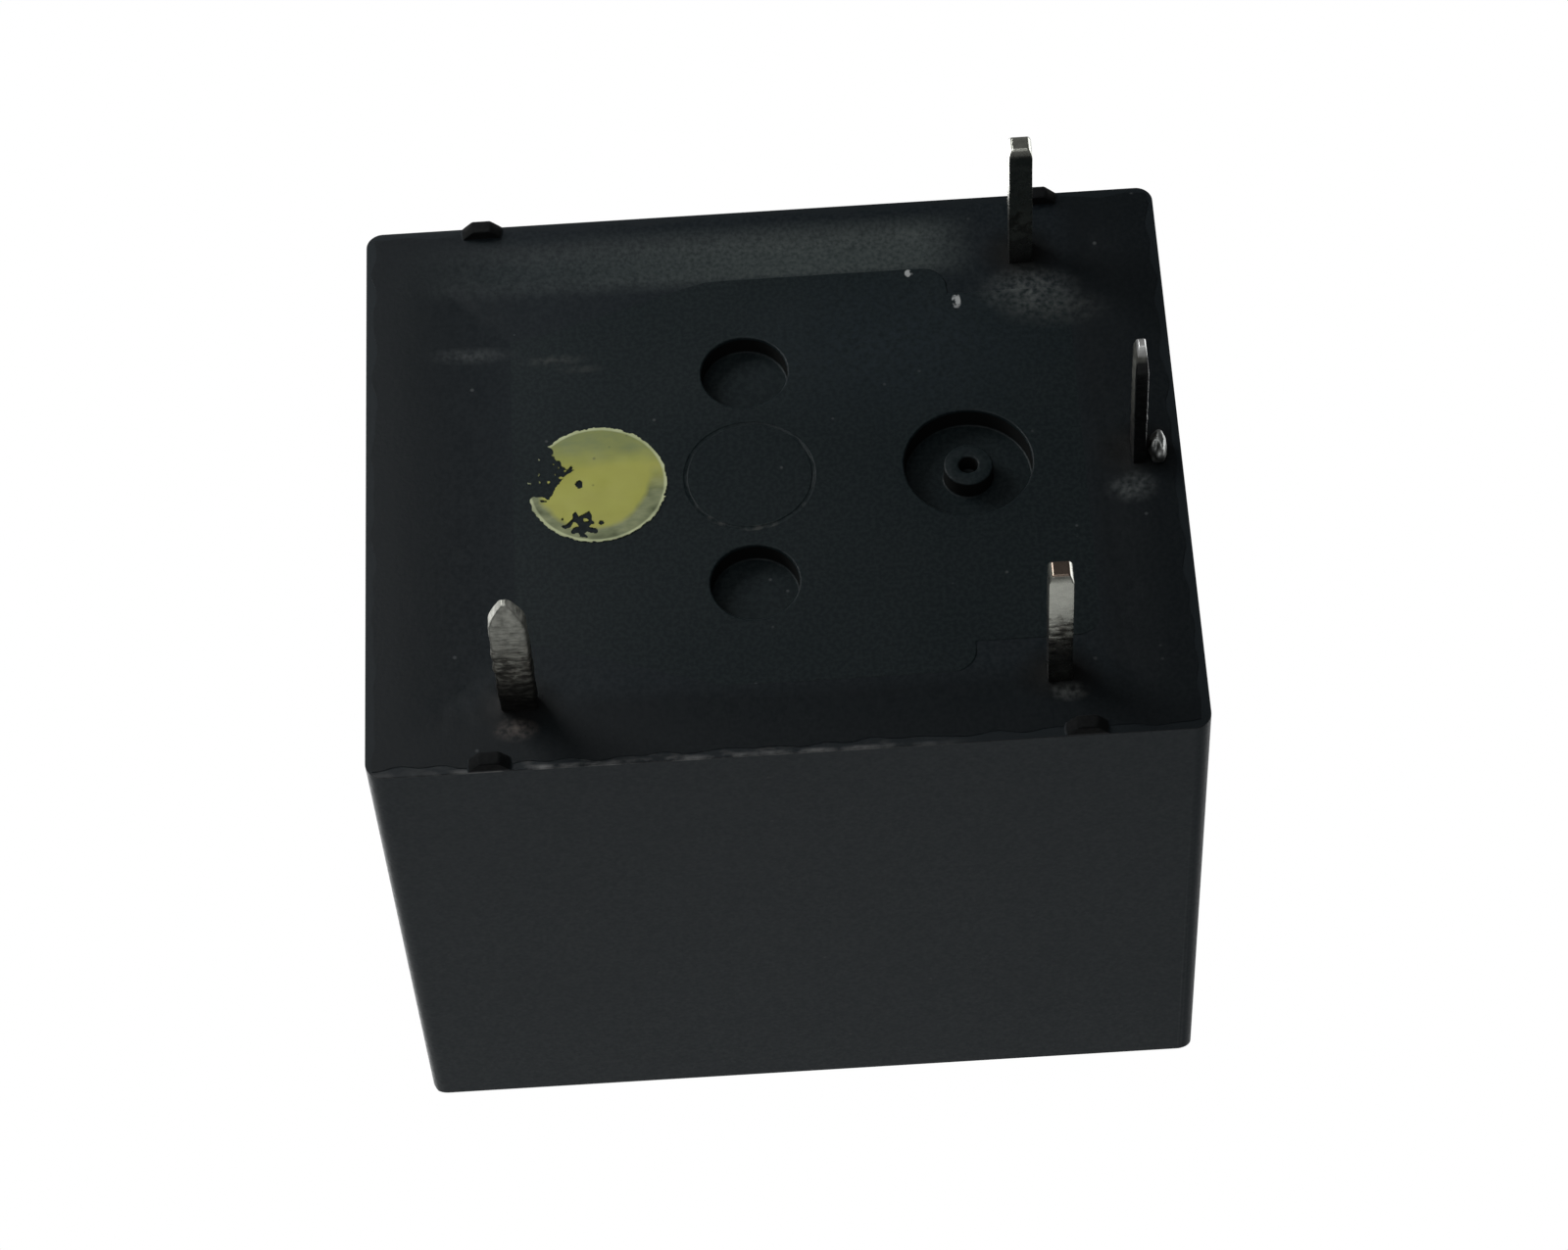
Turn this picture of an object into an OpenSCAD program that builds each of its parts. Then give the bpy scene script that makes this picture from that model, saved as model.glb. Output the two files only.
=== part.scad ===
// Sealed power relay for a circuit board: a moulded cover over a base with four solder terminals,
// holding a coil, an iron circuit with a hinged armature, and one normally open contact.
// Millimetres. z = 0 is the board's face that the cover's feet stand on, the terminals point down,
// and +X runs along the body towards the common terminal.

/* [Cover] */
// Length of the cover
cover_l = 19.0; // [18.5:0.1:22]
// Width of the cover
cover_w = 15.5; // [15:0.1:18]
// Height of the cover, from its rim to its top
cover_h = 15.4; // [14.5:0.1:18]
// Thickness of the side walls
cover_wall = 0.6; // [0.5:0.05:0.7]
// Thickness of the top
cover_top_t = 0.9; // [0.6:0.05:1.2]
// Radius of the upright edges
cover_edge_r = 0.4; // [0.2:0.05:0.5]
// Radius of the upright edges inside
cover_inner_r = 0.15; // [0.1:0.05:0.3]
// How far the bevel on two of the top edges runs in from the side
bevel_in = 0.65; // [0.3:0.05:1]
// How far the same bevel runs down
bevel_down = 0.45; // [0.2:0.05:0.8]
// Diameter of the vent dimple in the top
vent_d = 0.85; // [0.6:0.05:1.2]
// Depth of the vent dimple
vent_depth = 0.3; // [0.1:0.05:0.45]
// Diameter of the nib in the dimple, cut off to open the vent
vent_nib_d = 0.35; // [0.2:0.05:0.5]
// Height of the nib
vent_nib_h = 0.2; // [0.05:0.05:0.3]
// Distance of the vent from the two sides next to it
vent_inset = 1.9; // [1.5:0.1:4]
// Height of the feet on the rim
foot_h = 0.3; // [0.2:0.05:0.6]
// Length of a foot along the rim
foot_l = 1.05; // [0.8:0.05:1.4]
// Thickness of a foot, from the cover's outer face
foot_w = 0.35; // [0.3:0.05:0.6]
// Diameter of a foot's flat tip
foot_tip_d = 0.5; // [0.3:0.05:0.7]
// Distance between the feet along the body
foot_pitch = 13.4; // [10:0.1:15]

/* [Base] */
// Gap between the base and the cover's walls
base_fit = 0.05; // [0.02:0.01:0.1]
// How far the pad lies inside the cover's rim
pad_sink = 0.1; // [0.05:0.01:0.2]
// Thickness of the base at its pad
base_t = 1.4; // [1.2:0.05:2]
// Depth of the trough round the pad
trough_d = 0.8; // [0.5:0.05:0.9]
// Width of the trough along the long sides
trough_side = 1.35; // [1.1:0.05:2]
// Width of the trough at the contact end
trough_end = 0.9; // [0.6:0.05:1.2]
// Clear distance from the common terminal to the pad
com_well = 1; // [0.6:0.05:1.5]
// Length of the well round the other terminals, from the terminal to the pad's step
well_reach = 1.8; // [1.4:0.05:2.5]
// Clear distance across the body from those terminals to the pad
well_side = 0.8; // [0.5:0.05:1.2]
// Radius of the pad's corners
pad_r = 0.6; // [0.3:0.05:0.8]
// Diameter of the two ejector recesses
recess_d = 2.05; // [1.5:0.05:2.6]
// Depth of the ejector recesses
recess_depth = 0.55; // [0.2:0.05:0.7]
// Distance between the ejector recesses
recess_pitch = 6; // [5:0.1:7]
// Place of the recesses along the body
recess_x = -0.55; // [-1.5:0.05:0.5]
// Diameter of the faint ejector ring between the recesses
ring_d = 3.1; // [2.4:0.1:3.4]
// Depth of the ring
ring_depth = 0.04; // [0.02:0.01:0.1]
// Width of the ring's line
ring_line = 0.1; // [0.06:0.02:0.2]
// Diameter of the gate recess
gate_d = 3.0; // [2.4:0.1:3.6]
// Depth of the gate recess
gate_depth = 0.6; // [0.3:0.05:0.8]
// Place of the gate recess along the body
gate_x = 4.55; // [4:0.05:5]
// Diameter of the nub in the gate recess
gate_nub_d = 1.15; // [0.8:0.05:1.5]
// Height of the nub
gate_nub_h = 0.5; // [0.2:0.05:0.6]
// Diameter of the hole left by the gate in the nub
gate_hole_d = 0.45; // [0.3:0.05:0.6]
// Wall thickness of the contact tower
tower_wall = 0.8; // [0.6:0.05:1]
// Number of hollow bays in the contact tower
tower_bays = 3; // [2:1:4]
// Thickness of the base left under the stop's foot
stop_floor = 0.2; // [0.15:0.05:0.3]
// Diameter of the yellow paint dot
paint_d = 3.3; // [2:0.1:4]
// Thickness of the paint
paint_t = 0.03; // [0.02:0.01:0.06]
// Place of the paint dot along the body
paint_x = -4.1; // [-5:0.1:-3.5]

/* [Resin] */
// How far the resin's face lies inside the cover's rim
resin_sink = 0.15; // [0.05:0.01:0.3]

/* [Terminals] */
// Distance of the coil terminals and the contact terminal from the cover's long sides
row_inset = 1.75; // [1.6:0.05:2.2]
// Distance of the contact terminal from the cover's end
no_inset = 3.5; // [3.3:0.1:4]
// Distance along the body from the coil terminals to the common terminal
com_offset = 2.3; // [2:0.1:2.6]
// How far the terminals reach below the board's face
pin_l = 3.8; // [3:0.1:5]
// Side of the square coil terminals
coil_pin = 0.55; // [0.45:0.05:0.7]
// Side of the coil terminals' cut tip
pin_tip_w = 0.37; // [0.2:0.01:0.4]
// Length of the taper to that tip
pin_tip_l = 0.22; // [0.1:0.01:0.5]
// Thickness of the contact terminals' sheet
blade_t = 0.4; // [0.3:0.05:0.5]
// Width of the contact terminals at the board
blade_w = 0.85; // [0.8:0.05:1.2]
// Width of the blades' cut tip
tip_w = 0.25; // [0.2:0.05:0.6]
// Length of the taper to the tip
tip_l = 0.65; // [0.3:0.05:1]
// Gap round a terminal in the base
pin_fit = 0.05; // [0.02:0.01:0.1]
// Inner radius of a bend in the contact terminals
bend_r = 0.3; // [0.2:0.05:0.5]

/* [Magnet] */
// Thickness of the yoke
yoke_t = 1.1; // [0.9:0.05:1.3]
// Outer radius of the yoke's bend
yoke_bend_r = 0.8; // [0.4:0.05:1]
// How far the yoke's lower leg runs past the core's middle
yoke_foot = 5; // [4:0.1:5.5]
// Thickness of the armature
armature_t = 1.0; // [0.8:0.05:1.2]
// How far the armature stays inside the yoke's sides
armature_margin = 0.2; // [0.1:0.05:0.5]
// Length of the armature's narrowing end
armature_taper = 2.6; // [1.5:0.1:4]
// Angle that the armature stands open, in degrees
open_angle = 3.2; // [2.5:0.1:4]
// Diameter of the core's shank
core_d = 5; // [4:0.1:5.6]
// Diameter of the core's riveted end
core_tail_d = 3.4; // [2.5:0.1:4]
// Diameter of the pole face
pole_d = 7.4; // [6:0.1:8]
// Thickness of the core's head
pole_t = 0.75; // [0.5:0.05:1]
// Thickness of the bobbin's flanges
flange_t = 0.7; // [0.5:0.05:0.9]
// Wall of the bobbin's tube
bobbin_wall = 0.5; // [0.4:0.05:0.7]
// How far the winding stays inside the flanges' edges
winding_margin = 0.3; // [0.25:0.05:0.6]
// Thickness of the tape round the winding
tape_t = 0.08; // [0.04:0.01:0.12]
// Wall of the bobbin's ears round the coil terminals
ear_wall = 0.375; // [0.3:0.025:0.45]
// Length of the coil terminals above the flange, where the wire is wrapped
tail_h = 1.1; // [0.8:0.1:1.6]
// Diameter of the coil's lead wire
lead_d = 0.2; // [0.1:0.02:0.3]
// Diameter of the wrapped and soldered joint
joint_d = 1.1; // [0.95:0.05:1.3]
// Height of that joint
joint_h = 0.55; // [0.3:0.05:0.7]

/* [Contacts] */
// Thickness of the contact spring
spring_t = 0.2; // [0.15:0.01:0.25]
// Width of the contact spring at the hinge
spring_w = 5; // [4:0.1:6]
// Width of the contact spring at the contact
spring_tip_w = 3; // [2.8:0.1:3.6]
// Inner radius of the contact spring's bend
spring_r = 0.5; // [0.3:0.05:0.7]
// Width of the window that softens the bend
window_w = 1.8; // [1:0.1:2.4]
// Diameter of the contact buttons
contact_d = 2.4; // [2:0.1:2.6]
// Thickness of the contact buttons
contact_t = 0.7; // [0.5:0.05:0.8]
// Distance along the body from the contact terminal to the contacts
contact_shift = 0.4; // [0.2:0.05:0.6]
// Gap between the armature's tip and the contact button
contact_air = 0.5; // [0.3:0.05:0.8]
// How far the spring runs past the middle of the contact button
spring_end = 1.8; // [1.5:0.1:2]
// Width of the strips that carry the fixed contact and the stop
tab_w = 2.8; // [2.7:0.1:3]
// Diameter of the rivets' shanks
rivet_d = 1.2; // [1:0.05:1.4]
// Diameter of the rivets' heads
rivet_head_d = 1.8; // [1.6:0.05:2.1]
// Thickness of the rivets' heads
rivet_head_t = 0.15; // [0.1:0.01:0.2]
// Distance between the rivets of a pair
rivet_pitch = 2.8; // [2.4:0.1:3]
// Distance of the armature's rivets from the hinge
rivet_back = 5; // [4.5:0.1:6]
// How far the common terminal's plate ends below the hinge
plate_drop = 4; // [3.5:0.1:5]

/* [Hidden] */
$fn = 64;
eps = 0.01;
// How far a cutting shape runs past what it cuts
over = 1;
// Gap between assembled pieces that do not touch, and round the rivets
clear = 0.1;
rivet_fit = 0.02;
// Air left between the armature and the iron when it is closed, and between the closed contacts
residual_gap = 0.03;

// Levels
rim_z = foot_h;
top_z = rim_z + cover_h;
roof_z = top_z - cover_top_t;
pad_z = rim_z + pad_sink;
resin_z = rim_z + resin_sink;
ledge_z = pad_z + trough_d;
base_z = pad_z + base_t;
yoke_z = base_z + yoke_t;

// Inside of the cover
inner_l = cover_l - 2 * cover_wall;
inner_w = cover_w - 2 * cover_wall;

// Places along the body: the common terminal and the coil's row from one end, the contact from the other
com_x = inner_l / 2 - clear / 2 - rivet_head_t - blade_t / 2;
yoke_x1 = com_x - blade_t / 2 - spring_t;
yoke_x0 = yoke_x1 - yoke_t;
coil_row_x = com_x - com_offset;
no_x = -cover_l / 2 + no_inset;
contact_x = no_x - contact_shift;
tower_x0 = contact_x - tab_w / 2;
tower_x1 = contact_x + tab_w / 2 + clear;
bobbin_x0 = tower_x1 + clear;
bobbin_x1 = yoke_x0 - clear;
bobbin_l = bobbin_x1 - bobbin_x0;
coil_x = (bobbin_x0 + bobbin_x1) / 2;

// Places across the body
pin_y = cover_w / 2 - row_inset;
ear = coil_pin + 2 * ear_wall;
yoke_w = 2 * (pin_y - ear / 2 - clear);
bobbin_w = yoke_w + ear_wall;
tower_w = 2 * (pin_y - blade_t / 2 - bend_r);
winding_r = min(bobbin_l, bobbin_w) / 2 - winding_margin;
tube_r = core_d / 2 + clear / 2 + bobbin_wall;

// Hinge line of the armature, set by the room that the open contact spring leaves under the stop
stop_top_z = roof_z - clear;
reach = yoke_x1 - contact_x;
blade_h = residual_gap + armature_t;
spring_top_h = blade_h + spring_t;
lift = (reach + rivet_head_d / 2) * sin(open_angle) + (spring_top_h + rivet_head_t) * cos(open_angle);
pivot_z = stop_top_z - blade_t - clear - lift;
flange_top_z = pivot_z - pole_t;
flange_bottom_z = yoke_z + flange_t;
winding_h = flange_top_z - flange_t - flange_bottom_z;
fixed_top_z = pivot_z + blade_h - contact_t - residual_gap;
tab_top_z = fixed_top_z - contact_t;
tower_z = tab_top_z - blade_t;

// Pad of the base
pad_x0 = -inner_l / 2 + trough_end;
pad_x1 = com_x - blade_t / 2 - com_well;
pad_w = inner_w - 2 * trough_side;
pad_end_w = 2 * (pin_y - blade_t / 2 - well_side);
step_x0 = no_x + well_reach;
step_x1 = coil_row_x - well_reach;

// Common terminal's plate on the yoke and the spring's leg under it
plate_z0 = base_z + clear;
plate_z1 = pivot_z - plate_drop;
yoke_rivet_z = (plate_z0 + plate_z1) / 2;
// Armature, counted back from the hinge
armature_back = clear;
armature_tip = reach - contact_d / 2 - contact_air;
armature_w = yoke_w - 2 * armature_margin;
// Depth of the stop's foot in the base
stop_foot = base_t - trough_d - stop_floor;

// Rectangle with round corners, centred
module round_rect(l, w, r) {
    square([l - 2 * r, w], center = true);
    square([l, w - 2 * r], center = true);
    for (x = [-1, 1], y = [-1, 1])
        translate([x * (l / 2 - r), y * (w / 2 - r)]) circle(r);
}

// Box that runs from x0 to x1 and z0 to z1 and is w wide across the body
module bar(x0, x1, w, z0, z1) {
    translate([x0, -w / 2, z0]) cube([x1 - x0, w, z1 - z0]);
}

// Outline of the raised pad: wide in the middle, stepped in at the wells of the terminals
module pad_outline() {
    translate([(step_x0 + step_x1) / 2, 0]) round_rect(step_x1 - step_x0, pad_w, pad_r);
    translate([(pad_x0 + pad_x1) / 2, 0]) round_rect(pad_x1 - pad_x0, pad_end_w, pad_r);
}

// Cross-sections of the four terminals at the board, widened by a gap
module pin_sections(gap) {
    for (y = [-1, 1])
        translate([coil_row_x, y * pin_y]) square(coil_pin + 2 * gap, center = true);
    translate([com_x, 0]) square([blade_t + 2 * gap, blade_w + 2 * gap], center = true);
    translate([no_x, pin_y]) square([blade_w + 2 * gap, blade_t + 2 * gap], center = true);
}

// Outline of a terminal of width w, tapered to a cut tip, standing upright from the tip up to z1
module terminal_outline(w, cut_w, taper, z1) {
    polygon([
        [-cut_w / 2, -pin_l], [cut_w / 2, -pin_l], [w / 2, -pin_l + taper],
        [w / 2, z1], [-w / 2, z1], [-w / 2, -pin_l + taper],
    ]);
}

// Places what is drawn for the closed armature, with the hinge line at the origin, in the open position
module opened() {
    translate([yoke_x1, 0, pivot_z]) rotate([0, open_angle, 0]) children();
}

// Rivet along +Z with its foot at z = 0 and its head on top of a stack of height h
module rivet(h) {
    cylinder(d = rivet_d, h = h + rivet_head_t);
    translate([0, 0, h]) cylinder(d = rivet_head_d, h = rivet_head_t);
}

// Strip of sheet that stands at the side of the tower and is bent over it
module bent_strip(top_z, foot_z, end_y) {
    bend_y = pin_y - blade_t / 2 - bend_r;
    bend_z = top_z - blade_t - bend_r;
    translate([tower_x0, pin_y - blade_t / 2, foot_z]) cube([tab_w, blade_t, bend_z - foot_z]);
    translate([tower_x0, bend_y, bend_z]) rotate([90, 0, 90])
        rotate_extrude_quarter(bend_r, blade_t, tab_w);
    translate([tower_x0, end_y, top_z - blade_t]) cube([tab_w, bend_y - end_y, blade_t]);
}

// Quarter of a ring of inner radius r, wall t and height h, from +X to +Y
module rotate_extrude_quarter(r, t, h) {
    rotate_extrude(angle = 90) translate([r, 0]) square([t, h]);
}

// Moulded box, open below, with feet on its rim, two bevelled top edges and a vent dimple
module cover() {
    color("#26282a") difference() {
        union() {
            translate([0, 0, rim_z]) linear_extrude(cover_h) round_rect(cover_l, cover_w, cover_edge_r);
            for (x = [-1, 1], y = [-1, 1])
                translate([x * foot_pitch / 2, y * (cover_w - foot_w) / 2, 0]) foot();
        }
        translate([0, 0, rim_z]) linear_extrude(cover_h - cover_top_t)
            round_rect(inner_l, inner_w, cover_inner_r);
        top_bevel(cover_l, cover_w / 2, 0);
        top_bevel(cover_w, cover_l / 2, 90);
        translate([cover_l / 2 - vent_inset, -cover_w / 2 + vent_inset, top_z - vent_depth]) difference() {
            cylinder(d = vent_d, h = vent_depth + over);
            cylinder(d = vent_nib_d, h = vent_nib_h);
        }
    }
}

// Cone on the rim, cut off flush with the wall's outer face and at the foot's thickness
module foot() {
    intersection() {
        cylinder(d1 = foot_tip_d, d2 = foot_l, h = foot_h + eps);
        bar(-foot_l, foot_l, foot_w, -over, foot_h + over);
    }
}

// Wedge that takes off a top edge of length l at a distance from the middle, turned about Z
module top_bevel(l, distance, turn) {
    rotate([0, 0, turn]) translate([-l / 2 - over, distance, top_z]) rotate([90, 0, 90])
        linear_extrude(l + 2 * over) polygon([
            [-bevel_in, 0], [0, -bevel_down], [over, -bevel_down], [over, over], [-bevel_in, over],
        ]);
}

// Moulded plate with its pad below and the contact tower above
module base() {
    outline_l = inner_l - 2 * base_fit;
    outline_w = inner_w - 2 * base_fit;
    color("#1c2022") difference() {
        union() {
            translate([0, 0, ledge_z]) linear_extrude(base_z - ledge_z)
                round_rect(outline_l, outline_w, cover_inner_r);
            translate([0, 0, pad_z]) linear_extrude(ledge_z - pad_z + eps) pad_outline();
            contact_tower();
        }
        for (y = [-1, 1])
            translate([recess_x, y * recess_pitch / 2, pad_z - over])
                cylinder(d = recess_d, h = recess_depth + over);
        gate_recess();
        translate([recess_x, 0, pad_z - over]) difference() {
            cylinder(d = ring_d, h = ring_depth + over);
            translate([0, 0, -over]) cylinder(d = ring_d - 2 * ring_line, h = ring_depth + 3 * over);
        }
        translate([0, 0, pad_z - over]) linear_extrude(base_t + 2 * over) pin_sections(pin_fit);
        translate([com_x, -blade_w / 2 - pin_fit, pad_z - over])
            cube([cover_l, blade_w + 2 * pin_fit, base_t + 2 * over]);
        translate([tower_x0 - pin_fit, -pin_y - blade_t / 2 - pin_fit, base_z - stop_foot])
            cube([tab_w + 2 * pin_fit, blade_t + 2 * pin_fit, base_t]);
    }
}

// Round recess where the base was filled, with a nub and its torn-off gate
module gate_recess() {
    translate([gate_x, 0, pad_z]) difference() {
        translate([0, 0, -over]) cylinder(d = gate_d, h = gate_depth + over);
        translate([0, 0, gate_depth - gate_nub_h]) difference() {
            cylinder(d = gate_nub_d, h = gate_nub_h + over);
            translate([0, 0, -over]) cylinder(d = gate_hole_d, h = gate_nub_h + over);
        }
    }
}

// Hollow tower with ribs that carries the fixed contact and screens it from the coil
module contact_tower() {
    bay_pitch = (tower_w - tower_wall) / tower_bays;
    difference() {
        bar(tower_x0, tower_x1, tower_w, base_z - eps, tower_z);
        for (bay = [0:tower_bays - 1])
            translate([tower_x0 - over, -tower_w / 2 + tower_wall + bay * bay_pitch, base_z]) cube([
                tower_x1 - tower_x0 - tower_wall + over,
                bay_pitch - tower_wall,
                tower_z - base_z - tower_wall,
            ]);
        translate([contact_x, 0, tower_z - rivet_head_t - clear])
            cylinder(d = rivet_head_d + clear, h = over);
    }
}

// Resin in the trough between the pad and the cover, set round the terminals
module epoxy_seal() {
    color("#202526") translate([0, 0, resin_z]) linear_extrude(ledge_z - resin_z) difference() {
        round_rect(inner_l, inner_w, cover_inner_r);
        pad_outline();
        pin_sections(0);
    }
}

// Dot of yellow paint on the pad
module paint_mark() {
    color("#9a9a52") translate([paint_x, 0, pad_z - paint_t]) cylinder(d = paint_d, h = paint_t);
}

// Square pin through the base and the bobbin's ear, with a tail above for the wire
module coil_terminal(y) {
    color("#8d8b84") translate([coil_row_x, y, 0]) intersection_for (turn = [0, 90])
        rotate([90, 0, turn]) linear_extrude(coil_pin, center = true)
            terminal_outline(coil_pin, pin_tip_w, pin_tip_l, flange_bottom_z + tail_h);
}

module coil_terminal_a() { coil_terminal(-pin_y); }

module coil_terminal_b() { coil_terminal(pin_y); }

// Blade at the end of the body, widened to a plate that is riveted over the spring on the yoke
module com_terminal() {
    color("#8d8b84") difference() {
        translate([com_x - blade_t / 2, 0, 0]) rotate([90, 0, 90]) linear_extrude(blade_t) {
            terminal_outline(blade_w, tip_w, tip_l, plate_z0 + eps);
            translate([-spring_w / 2, plate_z0]) square([spring_w, plate_z1 - plate_z0]);
        }
        yoke_rivet_holes();
    }
}

// Blade at the contact end, bent over the tower to carry the fixed contact
module no_terminal() {
    color("#8d8b84") difference() {
        union() {
            translate([no_x, pin_y + blade_t / 2, 0]) rotate([90, 0, 0]) linear_extrude(blade_t)
                terminal_outline(blade_w, tip_w, tip_l, base_z + clear + eps);
            bent_strip(tab_top_z, base_z + clear, -tab_w / 2);
        }
        translate([contact_x, 0, tower_z - over])
            cylinder(d = rivet_d + 2 * rivet_fit, h = blade_t + 2 * over);
    }
}

// Strip in the base that stops the opened spring
module back_stop() {
    color("#b9a878") mirror([0, 1, 0]) bent_strip(stop_top_z, base_z - stop_foot, -tab_w / 2);
}

// Moulded coil former with square flanges and an ear for each coil terminal
module bobbin() {
    color("#3a3a3c") difference() {
        union() {
            for (z = [yoke_z, flange_top_z - flange_t])
                bar(bobbin_x0, bobbin_x1, bobbin_w, z, z + flange_t);
            translate([coil_x, 0, yoke_z]) cylinder(r = tube_r, h = flange_top_z - yoke_z);
            for (y = [-1, 1])
                translate([coil_row_x - ear / 2, y * pin_y - ear / 2, base_z])
                    cube([ear, ear, flange_bottom_z - base_z]);
        }
        translate([coil_x, 0, yoke_z - over])
            cylinder(d = core_d + clear, h = flange_top_z - yoke_z + 2 * over);
        translate([0, 0, base_z - over])
            linear_extrude(flange_bottom_z - base_z + 2 * over) coil_pin_holes();
    }
}

module coil_pin_holes() {
    for (y = [-1, 1])
        translate([coil_row_x, y * pin_y]) square(coil_pin + 2 * rivet_fit, center = true);
}

// Enamelled copper wire, wound full
module coil_winding() {
    color("#a4592c") translate([coil_x, 0, flange_bottom_z]) difference() {
        cylinder(r = winding_r, h = winding_h);
        translate([0, 0, -over]) cylinder(r = tube_r, h = winding_h + 2 * over);
    }
}

// Turn of tape over the winding
module coil_tape() {
    color("#c7a53a") translate([coil_x, 0, flange_bottom_z]) difference() {
        cylinder(r = winding_r + tape_t, h = winding_h);
        translate([0, 0, -over]) cylinder(r = winding_r, h = winding_h + 2 * over);
    }
}

// End of the coil's wire, led to the terminal's tail, wrapped and soldered
module coil_lead(side) {
    span_x = coil_row_x - coil_x;
    span_y = side * pin_y;
    distance = sqrt(span_x * span_x + span_y * span_y);
    start = winding_r + tape_t;
    level = flange_bottom_z + tail_h / 2;
    color("#b0703a") difference() {
        union() {
            translate([coil_x, 0, level]) rotate([0, 90, atan2(span_y, span_x)])
                translate([0, 0, start]) cylinder(d = lead_d, h = distance - start);
            translate([coil_row_x, span_y, level - joint_h / 2]) cylinder(d = joint_d, h = joint_h);
        }
        translate([coil_row_x - coil_pin / 2, span_y - coil_pin / 2, level - tail_h])
            cube([coil_pin, coil_pin, 2 * tail_h]);
    }
}

module coil_lead_a() { coil_lead(-1); }

module coil_lead_b() { coil_lead(1); }

// Soft iron core, riveted through the yoke, with its pole face on top
module core() {
    color("#77797c") {
        translate([coil_x, 0, base_z]) cylinder(d = core_tail_d, h = yoke_t + eps);
        translate([coil_x, 0, yoke_z]) cylinder(d = core_d, h = flange_top_z - yoke_z + eps);
        translate([coil_x, 0, flange_top_z]) cylinder(d = pole_d, h = pole_t);
    }
}

// Bent iron: a leg under the coil and a leg beside it, whose top edge carries the armature
module yoke() {
    foot_x = coil_x - yoke_foot;
    color("#808387") difference() {
        translate([0, yoke_w / 2, 0]) rotate([90, 0, 0]) linear_extrude(yoke_w) difference() {
            union() {
                translate([foot_x, base_z]) square([yoke_x1 - foot_x, yoke_t]);
                translate([yoke_x0, base_z]) square([yoke_t, pivot_z - base_z]);
            }
            translate([yoke_x1 - yoke_bend_r, base_z + yoke_bend_r]) difference() {
                translate([0, -yoke_bend_r - over]) square(yoke_bend_r + over);
                circle(yoke_bend_r);
            }
        }
        translate([coil_x, 0, base_z - over]) cylinder(d = core_tail_d, h = yoke_t + 2 * over);
        yoke_rivet_holes();
    }
}

// Places a pair of rivets on the yoke's upright leg, along +X from its inner face
module on_yoke() {
    for (y = [-1, 1])
        translate([yoke_x0, y * rivet_pitch / 2, yoke_rivet_z]) rotate([0, 90, 0]) children();
}

module yoke_rivet_holes() {
    on_yoke() translate([0, 0, -over])
        cylinder(d = rivet_d + 2 * rivet_fit, h = yoke_t + spring_t + blade_t + 2 * over);
}

// Rivets that hold the spring and the common terminal's plate on the yoke
module yoke_rivets() {
    color("#9a9ca0") on_yoke() rivet(yoke_t + spring_t + blade_t);
}

// Places a pair of rivets on the closed armature, with their feet flush below
module on_armature() {
    for (y = [-1, 1])
        translate([-rivet_back, y * rivet_pitch / 2, residual_gap]) children();
}

module armature_rivet_holes() {
    on_armature() translate([0, 0, -over])
        cylinder(d = rivet_d + 2 * rivet_fit, h = armature_t + spring_t + 2 * over);
}

// Rivets that hold the spring on the armature
module armature_rivets() {
    color("#9a9ca0") opened() on_armature() rivet(armature_t + spring_t);
}

// Iron plate that tips on the yoke's top edge, bevelled under the spring's bend, narrower at the contact
module armature() {
    shoulder = armature_tip - armature_taper;
    color("#84878b") opened() difference() {
        translate([0, 0, residual_gap]) linear_extrude(armature_t) polygon([
            [-armature_back, -armature_w / 2], [-armature_back, armature_w / 2],
            [-shoulder, armature_w / 2], [-armature_tip, spring_tip_w / 2],
            [-armature_tip, -spring_tip_w / 2], [-shoulder, -armature_w / 2],
        ]);
        armature_rivet_holes();
        translate([0, armature_w, 0]) rotate([90, 0, 0]) linear_extrude(2 * armature_w) polygon([
            [-spring_r - clear, blade_h], [-armature_back, blade_h - spring_r],
            [over, blade_h - spring_r], [over, blade_h + over], [-spring_r - clear, blade_h + over],
        ]);
    }
}

// Leaf of spring bronze: a leg on the yoke, a bend round the hinge line and a blade on the armature
module contact_spring() {
    // Centre of the bend, chosen so that the leg lies on the yoke and the blade on the open armature
    bend_z = (blade_h - spring_r + spring_r * sin(open_angle)) / cos(open_angle);
    blade_start = -spring_r * cos(open_angle) - bend_z * sin(open_angle);
    blade_end = -reach - spring_end;
    color("#c29a55") difference() {
        union() {
            translate([yoke_x1, -spring_w / 2, plate_z0 + clear])
                cube([spring_t, spring_w, pivot_z + bend_z - plate_z0 - clear]);
            translate([yoke_x1 - spring_r, spring_w / 2, pivot_z + bend_z]) rotate([90, 0, 0])
                rotate_extrude(angle = 90 - open_angle) translate([spring_r, 0]) square([spring_t, spring_w]);
            opened() translate([0, 0, blade_h]) linear_extrude(spring_t) polygon([
                [blade_start, -spring_w / 2], [blade_start, spring_w / 2],
                [-rivet_back - rivet_head_d, spring_w / 2], [-armature_tip, spring_tip_w / 2],
                [blade_end, spring_tip_w / 2], [blade_end, -spring_tip_w / 2],
                [-armature_tip, -spring_tip_w / 2], [-rivet_back - rivet_head_d, -spring_w / 2],
            ]);
        }
        translate([yoke_x1 - 2 * spring_r, -window_w / 2, pivot_z - spring_r])
            cube([4 * spring_r, window_w, blade_h + 2 * spring_r]);
        yoke_rivet_holes();
        opened() armature_rivet_holes();
        opened() translate([-reach, 0, 0]) cylinder(d = rivet_d + 2 * rivet_fit, h = spring_top_h + over);
    }
}

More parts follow.
